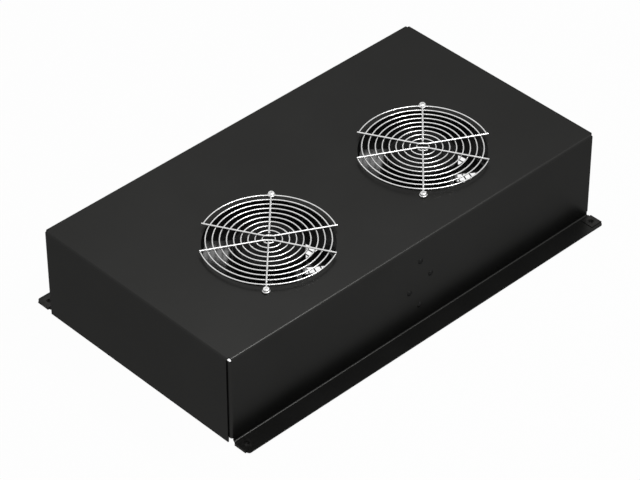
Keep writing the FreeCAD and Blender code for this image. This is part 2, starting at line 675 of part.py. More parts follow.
def make_stator(fan, x):
    """Slotted lamination stack on the bearing tube, and its two rings of end turns."""
    piece = body(f"{fan}_stator_core", x, "fan_offset", FAN_BASE, fan_turn())
    ring = sketch(piece, "XY_Plane", "ring", "stator_low")
    circle(ring, "0", "0", "stator_radius")
    circle(ring, "0", "0", "tube_radius + seat_gap")
    pad(piece, ring, "stator_stack")
    slot = sketch(piece, "XY_Plane", "slot", "stator_low")
    outline(slot, [
        ("slot_floor", "-slot_width / 2"),
        ("slot_roof", "-slot_width / 2"),
        ("slot_roof", "-slot_mouth / 2"),
        ("stator_radius + air_gap", "-slot_mouth / 2"),
        ("stator_radius + air_gap", "slot_mouth / 2"),
        ("slot_roof", "slot_mouth / 2"),
        ("slot_roof", "slot_width / 2"),
        ("slot_floor", "slot_width / 2"),
    ])
    polar(piece, [pocket(piece, slot, "stator_stack", reverse=True)], "stator_slots")

    piece = body(f"{fan}_windings", x, "fan_offset", FAN_BASE, fan_turn())
    inner = "(tube_radius + turns_inset)"
    outer = "(stator_radius - turns_margin)"
    low_turns = ("plate_gauge + turns_lift", "stator_low - turns_gap")
    high_turns = ("stator_low + stator_stack + turns_gap", "stator_low + stator_stack + turns_height")
    for name, (low, high) in (("low_turns", low_turns), ("high_turns", high_turns)):
        turns = sketch(piece, "XZ_Plane", name)
        outline(turns, [
            (f"{inner} + turns_round", low),
            (f"{outer} - turns_round", low, CCW, "turns_round"),
            (outer, f"{low} + turns_round"),
            (outer, f"{high} - turns_round", CCW, "turns_round"),
            (f"{outer} - turns_round", high),
            (f"{inner} + turns_round", high, CCW, "turns_round"),
            (inner, f"{high} - turns_round"),
            (inner, f"{low} + turns_round", CCW, "turns_round"),
        ])
        revolve(piece, turns)


def make_bearings(fan, x):
    """Two shielded ball bearings in the tube."""
    piece = body(f"{fan}_bearings", x, "fan_offset", FAN_BASE, fan_turn())
    bore = "(shaft_radius + running_gap)"
    rim = "(bearing_radius - seat_gap)"
    for name, low in (("low", "bearing_low"), ("high", "(tube_top - bearing_width)")):
        race = sketch(piece, "XZ_Plane", name)
        high = f"({low} + bearing_width)"
        outline(race, [
            (bore, low),
            (f"{bore} + race_wall", low),
            (f"{bore} + race_wall", f"{low} + shield_depth"),
            (f"{rim} - race_wall", f"{low} + shield_depth"),
            (f"{rim} - race_wall", low),
            (rim, low),
            (rim, high),
            (f"{rim} - race_wall", high),
            (f"{rim} - race_wall", f"{high} - shield_depth"),
            (f"{bore} + race_wall", f"{high} - shield_depth"),
            (f"{bore} + race_wall", high),
            (bore, high),
        ])
        revolve(piece, race)


def make_motor_cap(fan, x):
    """Cap that closes the bearing tube underneath."""
    piece = body(f"{fan}_motor_cap", x, "fan_offset", FAN_BASE, fan_turn())
    cup = sketch(piece, "XZ_Plane", "cup")
    rim = "(bearing_radius - seat_gap)"
    outline(cup, [
        ("0", "cap_low"),
        (rim, "cap_low"),
        (rim, "cap_low + cap_height"),
        (f"{rim} - cap_gauge", "cap_low + cap_height"),
        (f"{rim} - cap_gauge", "cap_low + cap_gauge"),
        ("0", "cap_low + cap_gauge"),
    ])
    revolve(piece, cup)


def tab_pair(drawing, slack):
    """Two upright-standing openings or blades for the flat tabs."""
    for side in ("", "-"):
        rectangle(drawing, f"{side}tab_pitch / 2 - tab_width / 2 - {slack}",
                  f"tab_height - tab_gauge / 2 - {slack}",
                  f"{side}tab_pitch / 2 + tab_width / 2 + {slack}",
                  f"tab_height + tab_gauge / 2 + {slack}")


def make_terminals(fan, x):
    """Insulator in the frame's window, with two flat tabs for the plug."""
    face = "(fan_short / 2 + socket_stand)"
    piece = body(f"{fan}_terminal_block", x, "fan_offset", FAN_BASE, fan_turn())
    block = sketch(piece, "XY_Plane", "block", "socket_low")
    rectangle(block, "-socket_width / 2", f"-{face}", "socket_width / 2",
              "socket_reach - fan_short / 2")
    pad(piece, block, "socket_height")
    slots = sketch(piece, "XZ_Plane", "slots", face)
    tab_pair(slots, "seat_gap")
    pocket(piece, slots, "tab_root + seat_gap")

    piece = body(f"{fan}_terminal_tabs", x, "fan_offset", FAN_BASE, fan_turn())
    tabs = sketch(piece, "XZ_Plane", "tabs", f"{face} - tab_root")
    tab_pair(tabs, "0")
    pad(piece, tabs, "tab_length")


def make_plug(fan, x):
    """Moulded plug pushed over the tabs, with a tapered neck for the lead."""
    seat = "(fan_short / 2 + socket_stand + plug_gap)"
    piece = body(f"{fan}_plug", x, "fan_offset", FAN_BASE, fan_turn())
    shell = sketch(piece, "XZ_Plane", "shell", seat)
    rectangle(shell, "-plug_width / 2", "tab_height - plug_height / 2",
              "plug_width / 2", "tab_height + plug_height / 2")
    pad(piece, shell, "plug_length")
    length = value("plug_length")
    fillet(piece, "plug_round", lambda edge: abs(edge.Length - length) < 1e-3)
    neck = sketch(piece, "XZ_Plane", "neck", f"{seat} + plug_length")
    circle(neck, "0", "tab_height", "neck_radius")
    neck_pad = pad(piece, neck, "neck_length")
    neck_pad.TaperAngle = -value("neck_taper")
    slots = sketch(piece, "XZ_Plane", "slots", seat)
    tab_pair(slots, "plug_slack")
    pocket(piece, slots, "tab_length - tab_root", reverse=True)


# ---------------------------------------------------------------- fan, turning pieces

def make_rotor(fan, x):
    """Rotor can with its boss, the cage ring inside it, the shaft and its ring."""
    piece = body(f"{fan}_rotor_can", x, "fan_offset", FAN_BASE, fan_turn())
    can = sketch(piece, "XZ_Plane", "can")
    under = f"({CAN_TOP} - can_gauge)"
    inner_edge = "(can_edge - can_gauge)"
    outline(can, [
        (CAN_INSIDE, "can_low"),
        ("can_radius", "can_low"),
        ("can_radius", f"{CAN_TOP} - can_edge", CCW, "can_edge"),
        ("can_radius - can_edge", CAN_TOP),
        ("dimple_radius", CAN_TOP),
        ("dimple_radius - dimple_depth", f"{CAN_TOP} - dimple_depth"),
        ("0", f"{CAN_TOP} - dimple_depth"),
        ("0", f"{under} - dimple_depth"),
        ("shaft_radius + seat_gap", f"{under} - dimple_depth"),
        ("shaft_radius + seat_gap", "tube_top + boss_clear"),
        ("boss_radius", "tube_top + boss_clear"),
        ("boss_radius", under),
        ("can_radius - can_edge", under, CW, inner_edge),
        (CAN_INSIDE, f"{under} - {inner_edge}"),
    ])
    revolve(piece, can)

    piece = body(f"{fan}_rotor_core", x, "fan_offset", FAN_BASE, fan_turn())
    core = sketch(piece, "XZ_Plane", "core")
    stack_top = "(stator_low + stator_stack)"
    inner = "(stator_radius + air_gap)"
    outer = f"({CAN_INSIDE} - seat_gap)"
    outline(core, [
        (inner, "stator_low"),
        (f"{inner} + cage_step", "stator_low"),
        (f"{inner} + cage_step", "stator_low - cage_reach"),
        (outer, "stator_low - cage_reach"),
        (outer, f"{stack_top} + cage_reach"),
        (f"{inner} + cage_step", f"{stack_top} + cage_reach"),
        (f"{inner} + cage_step", stack_top),
        (inner, stack_top),
    ])
    revolve(piece, core)

    piece = body(f"{fan}_shaft", x, "fan_offset", FAN_BASE, fan_turn())
    shaft = sketch(piece, "XZ_Plane", "shaft")
    top = f"({CAN_TOP} - can_gauge - shaft_drop)"
    outline(shaft, [
        ("0", "shaft_low"),
        ("shaft_radius - shaft_chamfer", "shaft_low"),
        ("shaft_radius", "shaft_low + shaft_chamfer"),
        ("shaft_radius", "groove_low"),
        ("shaft_radius - groove_depth", "groove_low"),
        ("shaft_radius - groove_depth", "groove_low + groove_width"),
        ("shaft_radius", "groove_low + groove_width"),
        ("shaft_radius", f"{top} - shaft_chamfer"),
        ("shaft_radius - shaft_chamfer", top),
        ("0", top),
    ])
    revolve(piece, shaft)

    piece = body(f"{fan}_shaft_ring", x, "fan_offset", FAN_BASE, fan_turn())
    ring = sketch(piece, "XY_Plane", "ring", "groove_low + seat_gap")
    circle(ring, "0", "0", "shaft_radius + ring_reach")
    circle(ring, "0", "0", "shaft_radius - groove_depth + seat_gap")
    pad(piece, ring, "groove_width - 2 * seat_gap")
    gap = sketch(piece, "XY_Plane", "gap", "groove_low + groove_width")
    rectangle(gap, "0", "-ring_gap / 2", "shaft_radius + 2 * ring_reach", "ring_gap / 2")
    pocket(piece, gap, "groove_width")


def blade_section(piece, name, distance):
    """A cambered strip across the radius, its top edge behind and its lower edge ahead."""
    section = sketch(piece, "YZ_Plane", name, distance)
    past_root = f"(({distance} - {BLADE_START}) / ({BLADE_END} - {BLADE_START}))"
    chord = f"(root_chord + {past_root} * (tip_chord - root_chord))"
    past_can = f"(({distance} - can_radius) / (blade_tip - can_radius))"
    pitch = f"(atan(blade_lead / {distance}) + {past_can} * blade_twist * 1 deg)"
    height = f"sqrt(blade_camber ^ 2 - {chord} ^ 2 / 4)"
    grow = "(1 + blade_gauge / blade_camber)"
    corners = []
    for along, across, arc in (
            (f"(-{chord} / 2)", "0", (CCW, "blade_camber")),
            (f"({chord} / 2)", "0", ()),
            (f"({chord} / 2 * {grow})", f"({height} * (1 - {grow}))",
             (CW, "blade_camber + blade_gauge")),
            (f"(-{chord} / 2 * {grow})", f"({height} * (1 - {grow}))", ())):
        ahead = f"{along} * cos({pitch}) + {across} * sin({pitch}) + {past_can} * blade_sweep"
        rise = f"blade_middle - {along} * sin({pitch}) + {across} * cos({pitch})"
        corners.append((ahead, rise) + arc)
    return outline(section, corners)


def make_impeller(fan, x):
    """Sleeve with twisted, cambered sheet blades, trimmed to a running clearance."""
    phase = FreeCAD.Rotation(V(0, 0, 1), value("ear_angle + blade_phase"))
    piece = body(f"{fan}_impeller", x, "fan_offset", FAN_BASE, phase)
    ring = sketch(piece, "XY_Plane", "sleeve", "can_low + sleeve_margin")
    circle(ring, "0", "0", SLEEVE_RADIUS)
    circle(ring, "0", "0", "can_radius + seat_gap")
    pad(piece, ring, f"{CAN_TOP} - can_edge - can_low - 2 * sleeve_margin")

    blade = piece.newObject("PartDesign::AdditiveLoft", f"{fan}_blade")
    blade.Profile = blade_section(piece, "root", BLADE_START)
    blade.Sections = [blade_section(piece, "middle", "((can_radius + blade_tip) / 2)"),
                      blade_section(piece, "tip", BLADE_END)]
    polar(piece, [blade], "blade_count")

    trim = sketch(piece, "XZ_Plane", "tip_trim")
    rectangle(trim, "blade_tip", "-fan_depth", "2 * blade_tip", "2 * fan_depth")
    revolve(piece, trim, "PartDesign::Groove")
    bore = sketch(piece, "XY_Plane", "bore", "fan_depth")
    circle(bore, "0", "0", "can_radius + seat_gap")
    pocket(piece, bore, "fan_depth")


# ---------------------------------------------------------------- guards and fan screws

def ring_wire(radius, rise, gauge, sweep=None, turn=0):
    """A guard ring, or the arc of one."""
    wire = doc.addObject("Part::Torus", "ring")
    bind(wire, "Radius1", radius)
    bind(wire, "Radius2", gauge)
    if sweep:
        bind(wire, "Angle3", sweep)
    place(wire, "0", "0", rise, FreeCAD.Rotation(V(0, 0, 1), turn))
    return wire


def straight_wire(start, end, nosed=True):
    """A straight wire, with a round nose at its start."""
    here = V(*(value(number) for number in start))
    there = V(*(value(number) for number in end))
    turn = FreeCAD.Rotation(V(0, 0, 1), there - here)
    rod = doc.addObject("Part::Cylinder", "rod")
    bind(rod, "Radius", "guard_wire")
    steps = [f"({last} - ({first})) ^ 2" for first, last in zip(start, end)]
    bind(rod, "Height", f"sqrt({' + '.join(steps)})")
    place(rod, *start, turn)
    if not nosed:
        return [rod]
    nose = doc.addObject("Part::Sphere", "nose")
    bind(nose, "Radius", "guard_wire")
    place(nose, *start)
    return [rod, nose]


def make_guard(label, x, z, turn, ring_rise):
    """Welded wire guard, its rings under the spokes and its eyelets on the seat."""
    wires = []
    whole_rings = round(value("guard_rings")) - 1
    for number in range(whole_rings):
        wires.append(ring_wire(f"ring_first + {number} * ring_step", ring_rise, "ring_gauge"))
    for side in (0, 180):
        start = side - value("side_angle")
        wires.append(ring_wire(f"ring_first + {whole_rings} * ring_step", ring_rise,
                               "ring_gauge", "2 * side_angle", start))
    spoke_rise = f"({ring_rise} + spoke_step)"
    eyelet_side = "(ear_radius - eyelet_radius - weld_reach * guard_wire)"
    knee = f"({eyelet_side} - spoke_bend)"
    for sign in ("", "-"):
        wires += straight_wire((f"{sign}{knee}", "0", spoke_rise),
                               (f"{sign}ring_first", "0", spoke_rise))
        wires += straight_wire((f"{sign}{eyelet_side}", "0", "guard_wire"),
                               (f"{sign}{knee}", "0", spoke_rise))
        eyelet = ring_wire("eyelet_radius", "guard_wire", "guard_wire", turn=90)
        bind(eyelet, "Placement.Base.x", f"{sign}ear_radius")
        wires.append(eyelet)
        middle = [(f"{sign}side_offset", f"{end}side_flat", spoke_rise) for end in ("-", "")]
        wires += straight_wire(*middle, nosed=False)
        for other, bend in zip(("-", ""), middle):
            wires += straight_wire(bend, (f"{sign}side_end * cos(side_angle)",
                                          f"{other}side_end * sin(side_angle)", spoke_rise))
    fused(label, wires, x, "fan_offset", z, turn)


def make_fan_screws(label, x, z, turn):
    """Two pan-head screws with cross recesses, standing on the guard's eyelets."""
    piece = body(label, x, "fan_offset", z, turn)
    profile = sketch(piece, "XZ_Plane", "profile")
    bind(profile, "AttachmentOffset.Base.x", "ear_radius")
    seat = "(2 * guard_wire)"
    end = f"({seat} - fan_screw_length)"
    outline(profile, [
        ("0", end),
        ("fan_thread - fan_screw_chamfer", end),
        ("fan_thread", f"{end} + fan_screw_chamfer"),
        ("fan_thread", seat),
        ("pan_radius", seat),
        ("pan_radius", f"{seat} + pan_rim", CCW, "pan_round"),
        ("pan_flat", f"{seat} + pan_height"),
        ("0", f"{seat} + pan_height"),
    ])
    screw = revolve(piece, profile)
    recess = sketch(piece, "XY_Plane", "recess", f"{seat} + pan_height")
    bind(recess, "AttachmentOffset.Base.x", "ear_radius")
    arm = "recess_width / 2"
    reach = "recess_span / 2"
    outline(recess, [
        (arm, arm), (arm, reach), (f"-{arm}", reach), (f"-{arm}", arm),
        (f"-{reach}", arm), (f"-{reach}", f"-{arm}"), (f"-{arm}", f"-{arm}"), (f"-{arm}", f"-{reach}"),
        (arm, f"-{reach}"), (arm, f"-{arm}"), (reach, f"-{arm}"), (reach, arm),
    ])
    cut = pocket(piece, recess, "recess_depth")
    polar(piece, [screw, cut], "2")


def hexagon(drawing, across, x="0", y="0"):
    """A hexagon of the given width across its flats."""
    corners = []
    for number in range(6):
        angle = 60 * number
        corners.append((f"{x} + {across} / sqrt(3) * cos({angle})",
                        f"{y} + {across} / sqrt(3) * sin({angle})"))
    return outline(drawing, corners)


def make_fan_nuts(label, x, z, turn, seat):
    """Two hexagon nuts under the fan flange."""
    piece = body(label, x, "fan_offset", z, turn)
    nut = sketch(piece, "XY_Plane", "nut", seat)
    hexagon(nut, "fan_nut", "ear_radius")
    circle(nut, "ear_radius", "0", "fan_thread + seat_gap")
    polar(piece, [pad(piece, nut, "nut_height", reverse=True)], "2")


# ---------------------------------------------------------------- wiring

def wall_body(label, x="wiring_x", z=WIRING_Z):
    """A sub-part on the front wall: its Z points into the housing and its Y down."""
    return body(label, x, f"-{WALL_INSIDE}", z, ON_FRONT_WALL)


def make_junction_cover():
    """Pressed cover with two ears, lead holes in its ends and a gland hole below."""
    piece = wall_body("junction_cover")
    shell = sketch(piece, "XY_Plane", "shell")
    rectangle(shell, "-box_length / 2", "-box_height / 2", "box_length / 2", "box_height / 2")
    pad(piece, shell, "box_depth")
    depth = value("box_depth")
    fillet(piece, "2 * box_gauge", lambda edge: edge.BoundBox.ZMax > depth - 1e-4)
    hollow = sketch(piece, "XY_Plane", "hollow")
    rectangle(hollow, "box_gauge - box_length / 2", "box_gauge - box_height / 2",
              "box_length / 2 - box_gauge", "box_height / 2 - box_gauge")
    pocket(piece, hollow, "box_depth - box_gauge", reverse=True)
    ears = sketch(piece, "XY_Plane", "ears")
    for flip_y in (1, -1):
        outline(ears, [
            ("-ear_width / 2", "box_height / 2 - box_gauge"),
            ("ear_width / 2", "box_height / 2 - box_gauge"),
            ("ear_width / 2", "box_height / 2 + ear_height - ear_round", CCW, "ear_round"),
            ("ear_width / 2 - ear_round", "box_height / 2 + ear_height"),
            ("ear_round - ear_width / 2", "box_height / 2 + ear_height", CCW, "ear_round"),
            ("-ear_width / 2", "box_height / 2 + ear_height - ear_round"),
        ], 1, flip_y)
        circle(ears, "0", f"{flip_y} * cover_screw_pitch / 2", "wall_hole")
    pad(piece, ears, "box_gauge")
    holes = sketch(piece, "YZ_Plane", "lead_holes")
    circle(holes, f"-{LEAD_RISE}", "lead_depth", "grommet_hole")
    pocket(piece, holes, "2 * box_length", symmetric=True)
    hole = sketch(piece, "XZ_Plane", "gland_hole", "-box_height / 2 + box_gauge")
    circle(hole, "0", "gland_depth", "gland_thread + seat_gap")
    pocket(piece, hole, "2 * box_gauge")


def make_terminal_block():
    """Three-pole screw terminal block, held through two holes set on a slant."""
    piece = wall_body("terminal_block")
    shell = sketch(piece, "XY_Plane", "shell")
    rectangle(shell, "-block_length / 2", "-block_width / 2", "block_length / 2", "block_width / 2")
    pad(piece, shell, "block_depth")
    wells = sketch(piece, "XY_Plane", "wells", "block_depth")
    for x, y in POLES:
        circle(wells, x, y, "well_radius")
    pocket(piece, wells, "well_depth")
    entries = sketch(piece, "XZ_Plane", "entries")
    for x in POLE_PLACES:
        circle(entries, x, "entry_depth", "entry_radius")
    pocket(piece, entries, "2 * block_width", symmetric=True)
    seats = sketch(piece, "XY_Plane", "nut_seats", "block_depth")
    holes = sketch(piece, "XY_Plane", "screw_holes", "block_depth")
    for x, y in BLOCK_SCREWS:
        circle(seats, x, y, "nut_seat")
        circle(holes, x, y, "wall_hole")
    pocket(piece, seats, "well_depth")
    pocket(piece, holes, "block_depth")


def make_clamp_screws():
    """Six slotted clamp screws in the terminal block's wells."""
    piece = wall_body("clamp_screws")
    heads = sketch(piece, "XY_Plane", "heads", "clamp_low")
    slots = sketch(piece, "XY_Plane", "slots", "clamp_low + clamp_height")
    for x, y in POLES:
        circle(heads, x, y, "clamp_radius")
        rectangle(slots, f"{x} - well_radius", f"{y} - clamp_slot / 2",
                  f"{x} + well_radius", f"{y} + clamp_slot / 2")
    pad(piece, heads, "clamp_height")
    pocket(piece, slots, "clamp_slot_depth")


def make_wall_screws():
    """Low black screws through the front wall, their heads outside."""
    for label, length, places in (("cover_screws", "cover_screw_length", COVER_SCREWS),
                                  ("block_screws", "block_screw_length", BLOCK_SCREWS)):
        piece = wall_body(label)
        for number, (x, y) in enumerate(places):
            profile = sketch(piece, "XZ_Plane", f"profile_{number}", f"-({y})")
            bind(profile, "AttachmentOffset.Base.x", x)
            outline(profile, [
                ("0", "-sheet_gauge - low_head_height"),
                ("low_head_flat", "-sheet_gauge - low_head_height", CCW, "low_head_round"),
                ("low_head", "-sheet_gauge"),
                ("wall_thread", "-sheet_gauge"),
                ("wall_thread", length),
                ("0", length),
            ])
            revolve(piece, profile)


def make_wall_nuts():
    """Nuts on the junction box screws: two on its ears, two in the terminal block."""
    for label, seat, places in (("cover_nuts", "box_gauge", COVER_SCREWS),
                                ("block_nuts", "block_depth - well_depth", BLOCK_SCREWS)):
        piece = wall_body(label)
        nuts = sketch(piece, "XY_Plane", "nuts", seat)
        for x, y in places:
            hexagon(nuts, "wall_nut", x, y)
            circle(nuts, x, y, "wall_thread + seat_gap")
        pad(piece, nuts, "nut_height")


def make_grommets():
    """Two rubber grommets that carry the fan leads through the box's ends."""
    piece = wall_body("lead_grommets")
    middle = "(box_length / 2 - box_gauge / 2)"
    groove = "(box_gauge / 2 + grommet_slack)"
    bore = f"-{LEAD_RISE} - lead_radius - seat_gap"
    rim = f"-{LEAD_RISE} - grommet_hole - grommet_rim"
    neck = f"-{LEAD_RISE} - grommet_hole + seat_gap"
    profile = sketch(piece, "XY_Plane", "profile", "lead_depth")
    for side in (1, -1):
        outline(profile, [
            (f"{middle} - grommet_width / 2", bore),
            (f"{middle} - grommet_width / 2", rim),
            (f"{middle} - {groove}", rim),
            (f"{middle} - {groove}", neck),
            (f"{middle} + {groove}", neck),
            (f"{middle} + {groove}", rim),
            (f"{middle} + grommet_width / 2", rim),
            (f"{middle} + grommet_width / 2", bore),
        ], side)
    axis = sketch(piece, "XY_Plane", "axis", "lead_depth")
    level = value(f"-{LEAD_RISE}")
    line = axis.addGeometry(Part.LineSegment(V(-1, level, 0), V(1, level, 0)))
    for end, place_x in ((1, "-1"), (2, "1")):
        tie(axis, "DistanceX", (-1, 1, line, end), place_x)
        tie(axis, "DistanceY", (-1, 1, line, end), f"-{LEAD_RISE}")
    feature = piece.newObject("PartDesign::Revolution", "grommets_turned")
    feature.Profile = profile
    feature.ReferenceAxis = (axis, ["Edge1"])
    feature.Angle = 360


def make_gland():
    """Cable gland in the box's lower end: body, locknut inside, dome nut below."""
    wall = "(box_height / 2)"
    piece = wall_body("supply_gland")
    thread = sketch(piece, "XZ_Plane", "thread", f"-{wall} + gland_inside")
    circle(thread, "0", "gland_depth", "gland_thread")
    pad(piece, thread, "gland_length", reverse=True)
    nut = sketch(piece, "XZ_Plane", "hexagon", f"-{wall}")
    hexagon(nut, "gland_hexagon", "0", "gland_depth")
    pad(piece, nut, "gland_collar", reverse=True)
    bore = sketch(piece, "XZ_Plane", "bore", f"-{wall} + gland_inside")
    circle(bore, "0", "gland_depth", "gland_bore")
    pocket(piece, bore, "gland_length")

    piece = wall_body("gland_locknut")
    nut = sketch(piece, "XZ_Plane", "nut", f"-{wall} + box_gauge + locknut_height")
    hexagon(nut, "gland_hexagon", "0", "gland_depth")
    circle(nut, "0", "gland_depth", "gland_thread + seat_gap")
    pad(piece, nut, "locknut_height", reverse=True)

    piece = wall_body("gland_dome_nut")
    top = f"(-{wall} - gland_collar - dome_gap)"
    nut = sketch(piece, "XZ_Plane", "nut", top)
    hexagon(nut, "gland_hexagon", "0", "gland_depth")
    pad(piece, nut, "dome_nut_height", reverse=True)
    dome = sketch(piece, "XZ_Plane", "dome", f"{top} - dome_nut_height")
    circle(dome, "0", "gland_depth", "gland_thread + dome_shoulder")
    taper = pad(piece, dome, "dome_height", reverse=True)
    taper.TaperAngle = -value("dome_taper")
    hollow = sketch(piece, "XZ_Plane", "hollow", top)
    circle(hollow, "0", "gland_depth", "gland_thread + seat_gap")
    pocket(piece, hollow, "gland_length - gland_inside - gland_collar")
    bore = sketch(piece, "XZ_Plane", "bore", top)
    circle(bore, "0", "gland_depth", "gland_bore")
    pocket(piece, bore, "dome_nut_height + dome_height")


def make_lead_clip():
    """Stuck-on clip that holds the longer lead to the front wall."""
    piece = wall_body("lead_clip", "clip_x", "clip_z")
    foot = sketch(piece, "XY_Plane", "foot", "clip_pad")
    rectangle(foot, "-clip_foot / 2", "-clip_foot / 2", "clip_foot / 2", "clip_foot / 2")
    pad(piece, foot, "clip_foot_gauge")
    loop = sketch(piece, "YZ_Plane", "loop")
    circle(loop, "0", "clip_depth", "lead_radius + clip_wall")
    pad(piece, loop, "clip_loop", symmetric=True)
    neck = sketch(piece, "YZ_Plane", "neck")
    rectangle(neck, "-lead_radius", "clip_foot_gauge", "lead_radius", "clip_depth")
    pad(piece, neck, "clip_loop", symmetric=True)
    bore = sketch(piece, "YZ_Plane", "bore")
    circle(bore, "0", "clip_depth", "lead_radius + seat_gap")
    pocket(piece, bore, "2 * clip_loop", symmetric=True)


def lead_path(points, diameter):
    """Straight runs joined by tangent arcs, each as large as its two runs allow."""
    edges = []
    here = points[0]
    for before, corner, after in zip(points, points[1:], points[2:]):
        into = corner - before
        out = after - corner
        turn = into.getAngle(out)
        reach = 0.45 * min(into.Length, out.Length)
        radius = reach / math.tan(turn / 2)
        print(f"  bend radius {radius:.1f} mm, {radius / diameter:.1f} diameters")
        into.normalize()
        out.normalize()
        start = corner - into * reach
        end = corner + out * reach
        middle = (out - into).normalize()
        centre = corner + middle * (radius / math.cos(turn / 2))
        edges.append(Part.LineSegment(here, start).toShape())
        edges.append(Part.Arc(start, centre - middle * radius, end).toShape())
        here = end
    edges.append(Part.LineSegment(here, points[-1]).toShape())
    return Part.Wire(edges)


def make_lead(label, points):
    """A fan lead from its plug's neck to the terminal block."""
    radius = value("lead_radius")
    print(label)
    path = lead_path([V(*point) for point in points], 2 * radius)
    start = V(*points[0])
    rim = Part.Wire(Part.makeCircle(radius, start, V(*points[1]) - start))
    tube = path.makePipeShell([rim], True, True)
    expected = math.pi * radius ** 2 * path.Length
    print(f"  length {path.Length:.0f} mm, volume {tube.Volume / expected:.4f} of section x length")
    piece = doc.addObject("Part::Feature", label)
    piece.Shape = tube
    piece.Placement = FreeCAD.Placement()
    pieces.append(piece)


def make_leads():
    """Both leads: fan 1 beside the junction box, fan 2 along the front wall."""
    level = value(f"{FAN_BASE} + tab_height")
    box_y = value(f"lead_depth - {WALL_INSIDE}")
    start_y = value(f"fan_offset - {PLUG_END} * cos(ear_angle)")
    first_x = value(f"{PLUG_END} * sin(ear_angle) - fan_spacing / 2")
    second_x = value(f"{PLUG_END} * sin(ear_angle) + fan_spacing / 2")
    clip_x = value("clip_x")
    clip_y = value(f"clip_depth - {WALL_INSIDE}")
    clip_z = value("clip_z")
    wiring_x = value("wiring_x")
    end_x = value("lead_end_x")
    end_y = value(f"lead_end - {WALL_INSIDE}")
    end_z = level - value("lead_end_drop")
    make_lead("fan_1_lead", [
        (first_x, start_y, level),
        (first_x + start_y - box_y, box_y, level),
        (wiring_x - end_x, box_y, level),
        (wiring_x - end_x, end_y, end_z),
    ])
    # The longer lead turns back from its plug, runs down through its clip and up to the box.
    make_lead("fan_2_lead", [
        (second_x, start_y, level),
        (second_x + 10, start_y - 10, level),
        (second_x + 12, start_y - 24, level - 4),
        (second_x + 4, start_y - 33, level - 8),
        (second_x - 11, clip_y + 1.4, clip_z + 2.5),
        (clip_x + 22, clip_y, clip_z),
        (clip_x - 20, clip_y, clip_z),
        (clip_x - 44, clip_y + 3.4, clip_z + 2.5),
        (clip_x - 58, clip_y + 14, level - 5.5),
        (wiring_x + 46, box_y, level),
        (wiring_x + end_x, box_y, level),
        (wiring_x + end_x, end_y, end_z),
    ])


def make_earth_stud():
    """Welded earth stud on the inside of the front wall, with its nut."""
    piece = wall_body("earth_stud", "stud_x", "stud_z")
    stud = sketch(piece, "XY_Plane", "stud")
    circle(stud, "0", "0", "stud_radius")
    pad(piece, stud, "stud_length")
    collar = sketch(piece, "XY_Plane", "collar")
    circle(collar, "0", "0", "stud_collar")
    pad(piece, collar, "stud_collar_height")
    piece = wall_body("earth_nut", "stud_x", "stud_z")
    nut = sketch(piece, "XY_Plane", "nut", "stud_collar_height")
    hexagon(nut, "stud_nut")
    circle(nut, "0", "0", "stud_radius + seat_gap")
    pad(piece, nut, "stud_nut_height")


# ---------------------------------------------------------------- the whole

def make_fan(fan, x):
    """All the pieces of one fan, with its guards and screws."""
    make_frame(fan, x)
    make_stator(fan, x)
    make_bearings(fan, x)
    make_motor_cap(fan, x)
    make_terminals(fan, x)
    make_plug(fan, x)
    make_rotor(fan, x)
    make_impeller(fan, x)
    make_guard(f"{fan}_top_guard", x, PANEL_TOP, fan_turn(), "top_rise")
    make_guard(f"{fan}_lower_guard", x, FAN_BASE, fan_turn_over(), "lower_rise")
    make_fan_screws(f"{fan}_top_screws", x, PANEL_TOP, fan_turn())
    make_fan_screws(f"{fan}_lower_screws", x, FAN_BASE, fan_turn_over())
    make_fan_nuts(f"{fan}_top_nuts", x, PANEL_TOP, fan_turn(), "-sheet_gauge - fan_flange")
    make_fan_nuts(f"{fan}_lower_nuts", x, FAN_BASE, fan_turn_over(), "-fan_flange")


def check_model():
    """Stop if any object failed, any cut removed nothing or any sub-part is not sound."""
    for thing in doc.Objects:
        if "Invalid" in thing.State or "Error" in thing.State:
            raise RuntimeError(f"{thing.Label} failed: {thing.State}")
        if thing.TypeId in ("PartDesign::Pocket", "PartDesign::Groove"):
            if thing.Shape.Volume > thing.BaseFeature.Shape.Volume - 1e-3:
                raise RuntimeError(f"{thing.Label} cuts nothing")
    for piece in pieces:
        if not piece.Shape.isValid() or not piece.Shape.Solids:
            raise RuntimeError(f"{piece.Label} is not a sound shape")


make_enclosure()
make_clip_nuts()
make_fan("fan_1", "-fan_spacing / 2")
make_fan("fan_2", "fan_spacing / 2")
make_junction_cover()
make_terminal_block()
make_clamp_screws()
make_wall_screws()
make_wall_nuts()
make_grommets()
make_gland()
make_lead_clip()
make_leads()
make_earth_stud()
doc.recompute()
check_model()
for piece in pieces:
    piece.Shape.exportStep(f"parts/{piece.Label}.step")
    print(f"{piece.Label}: {len(piece.Shape.Solids)} solids, {piece.Shape.Volume:.0f} mm3")
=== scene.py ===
import json

import bpy
from mathutils import Matrix, Vector


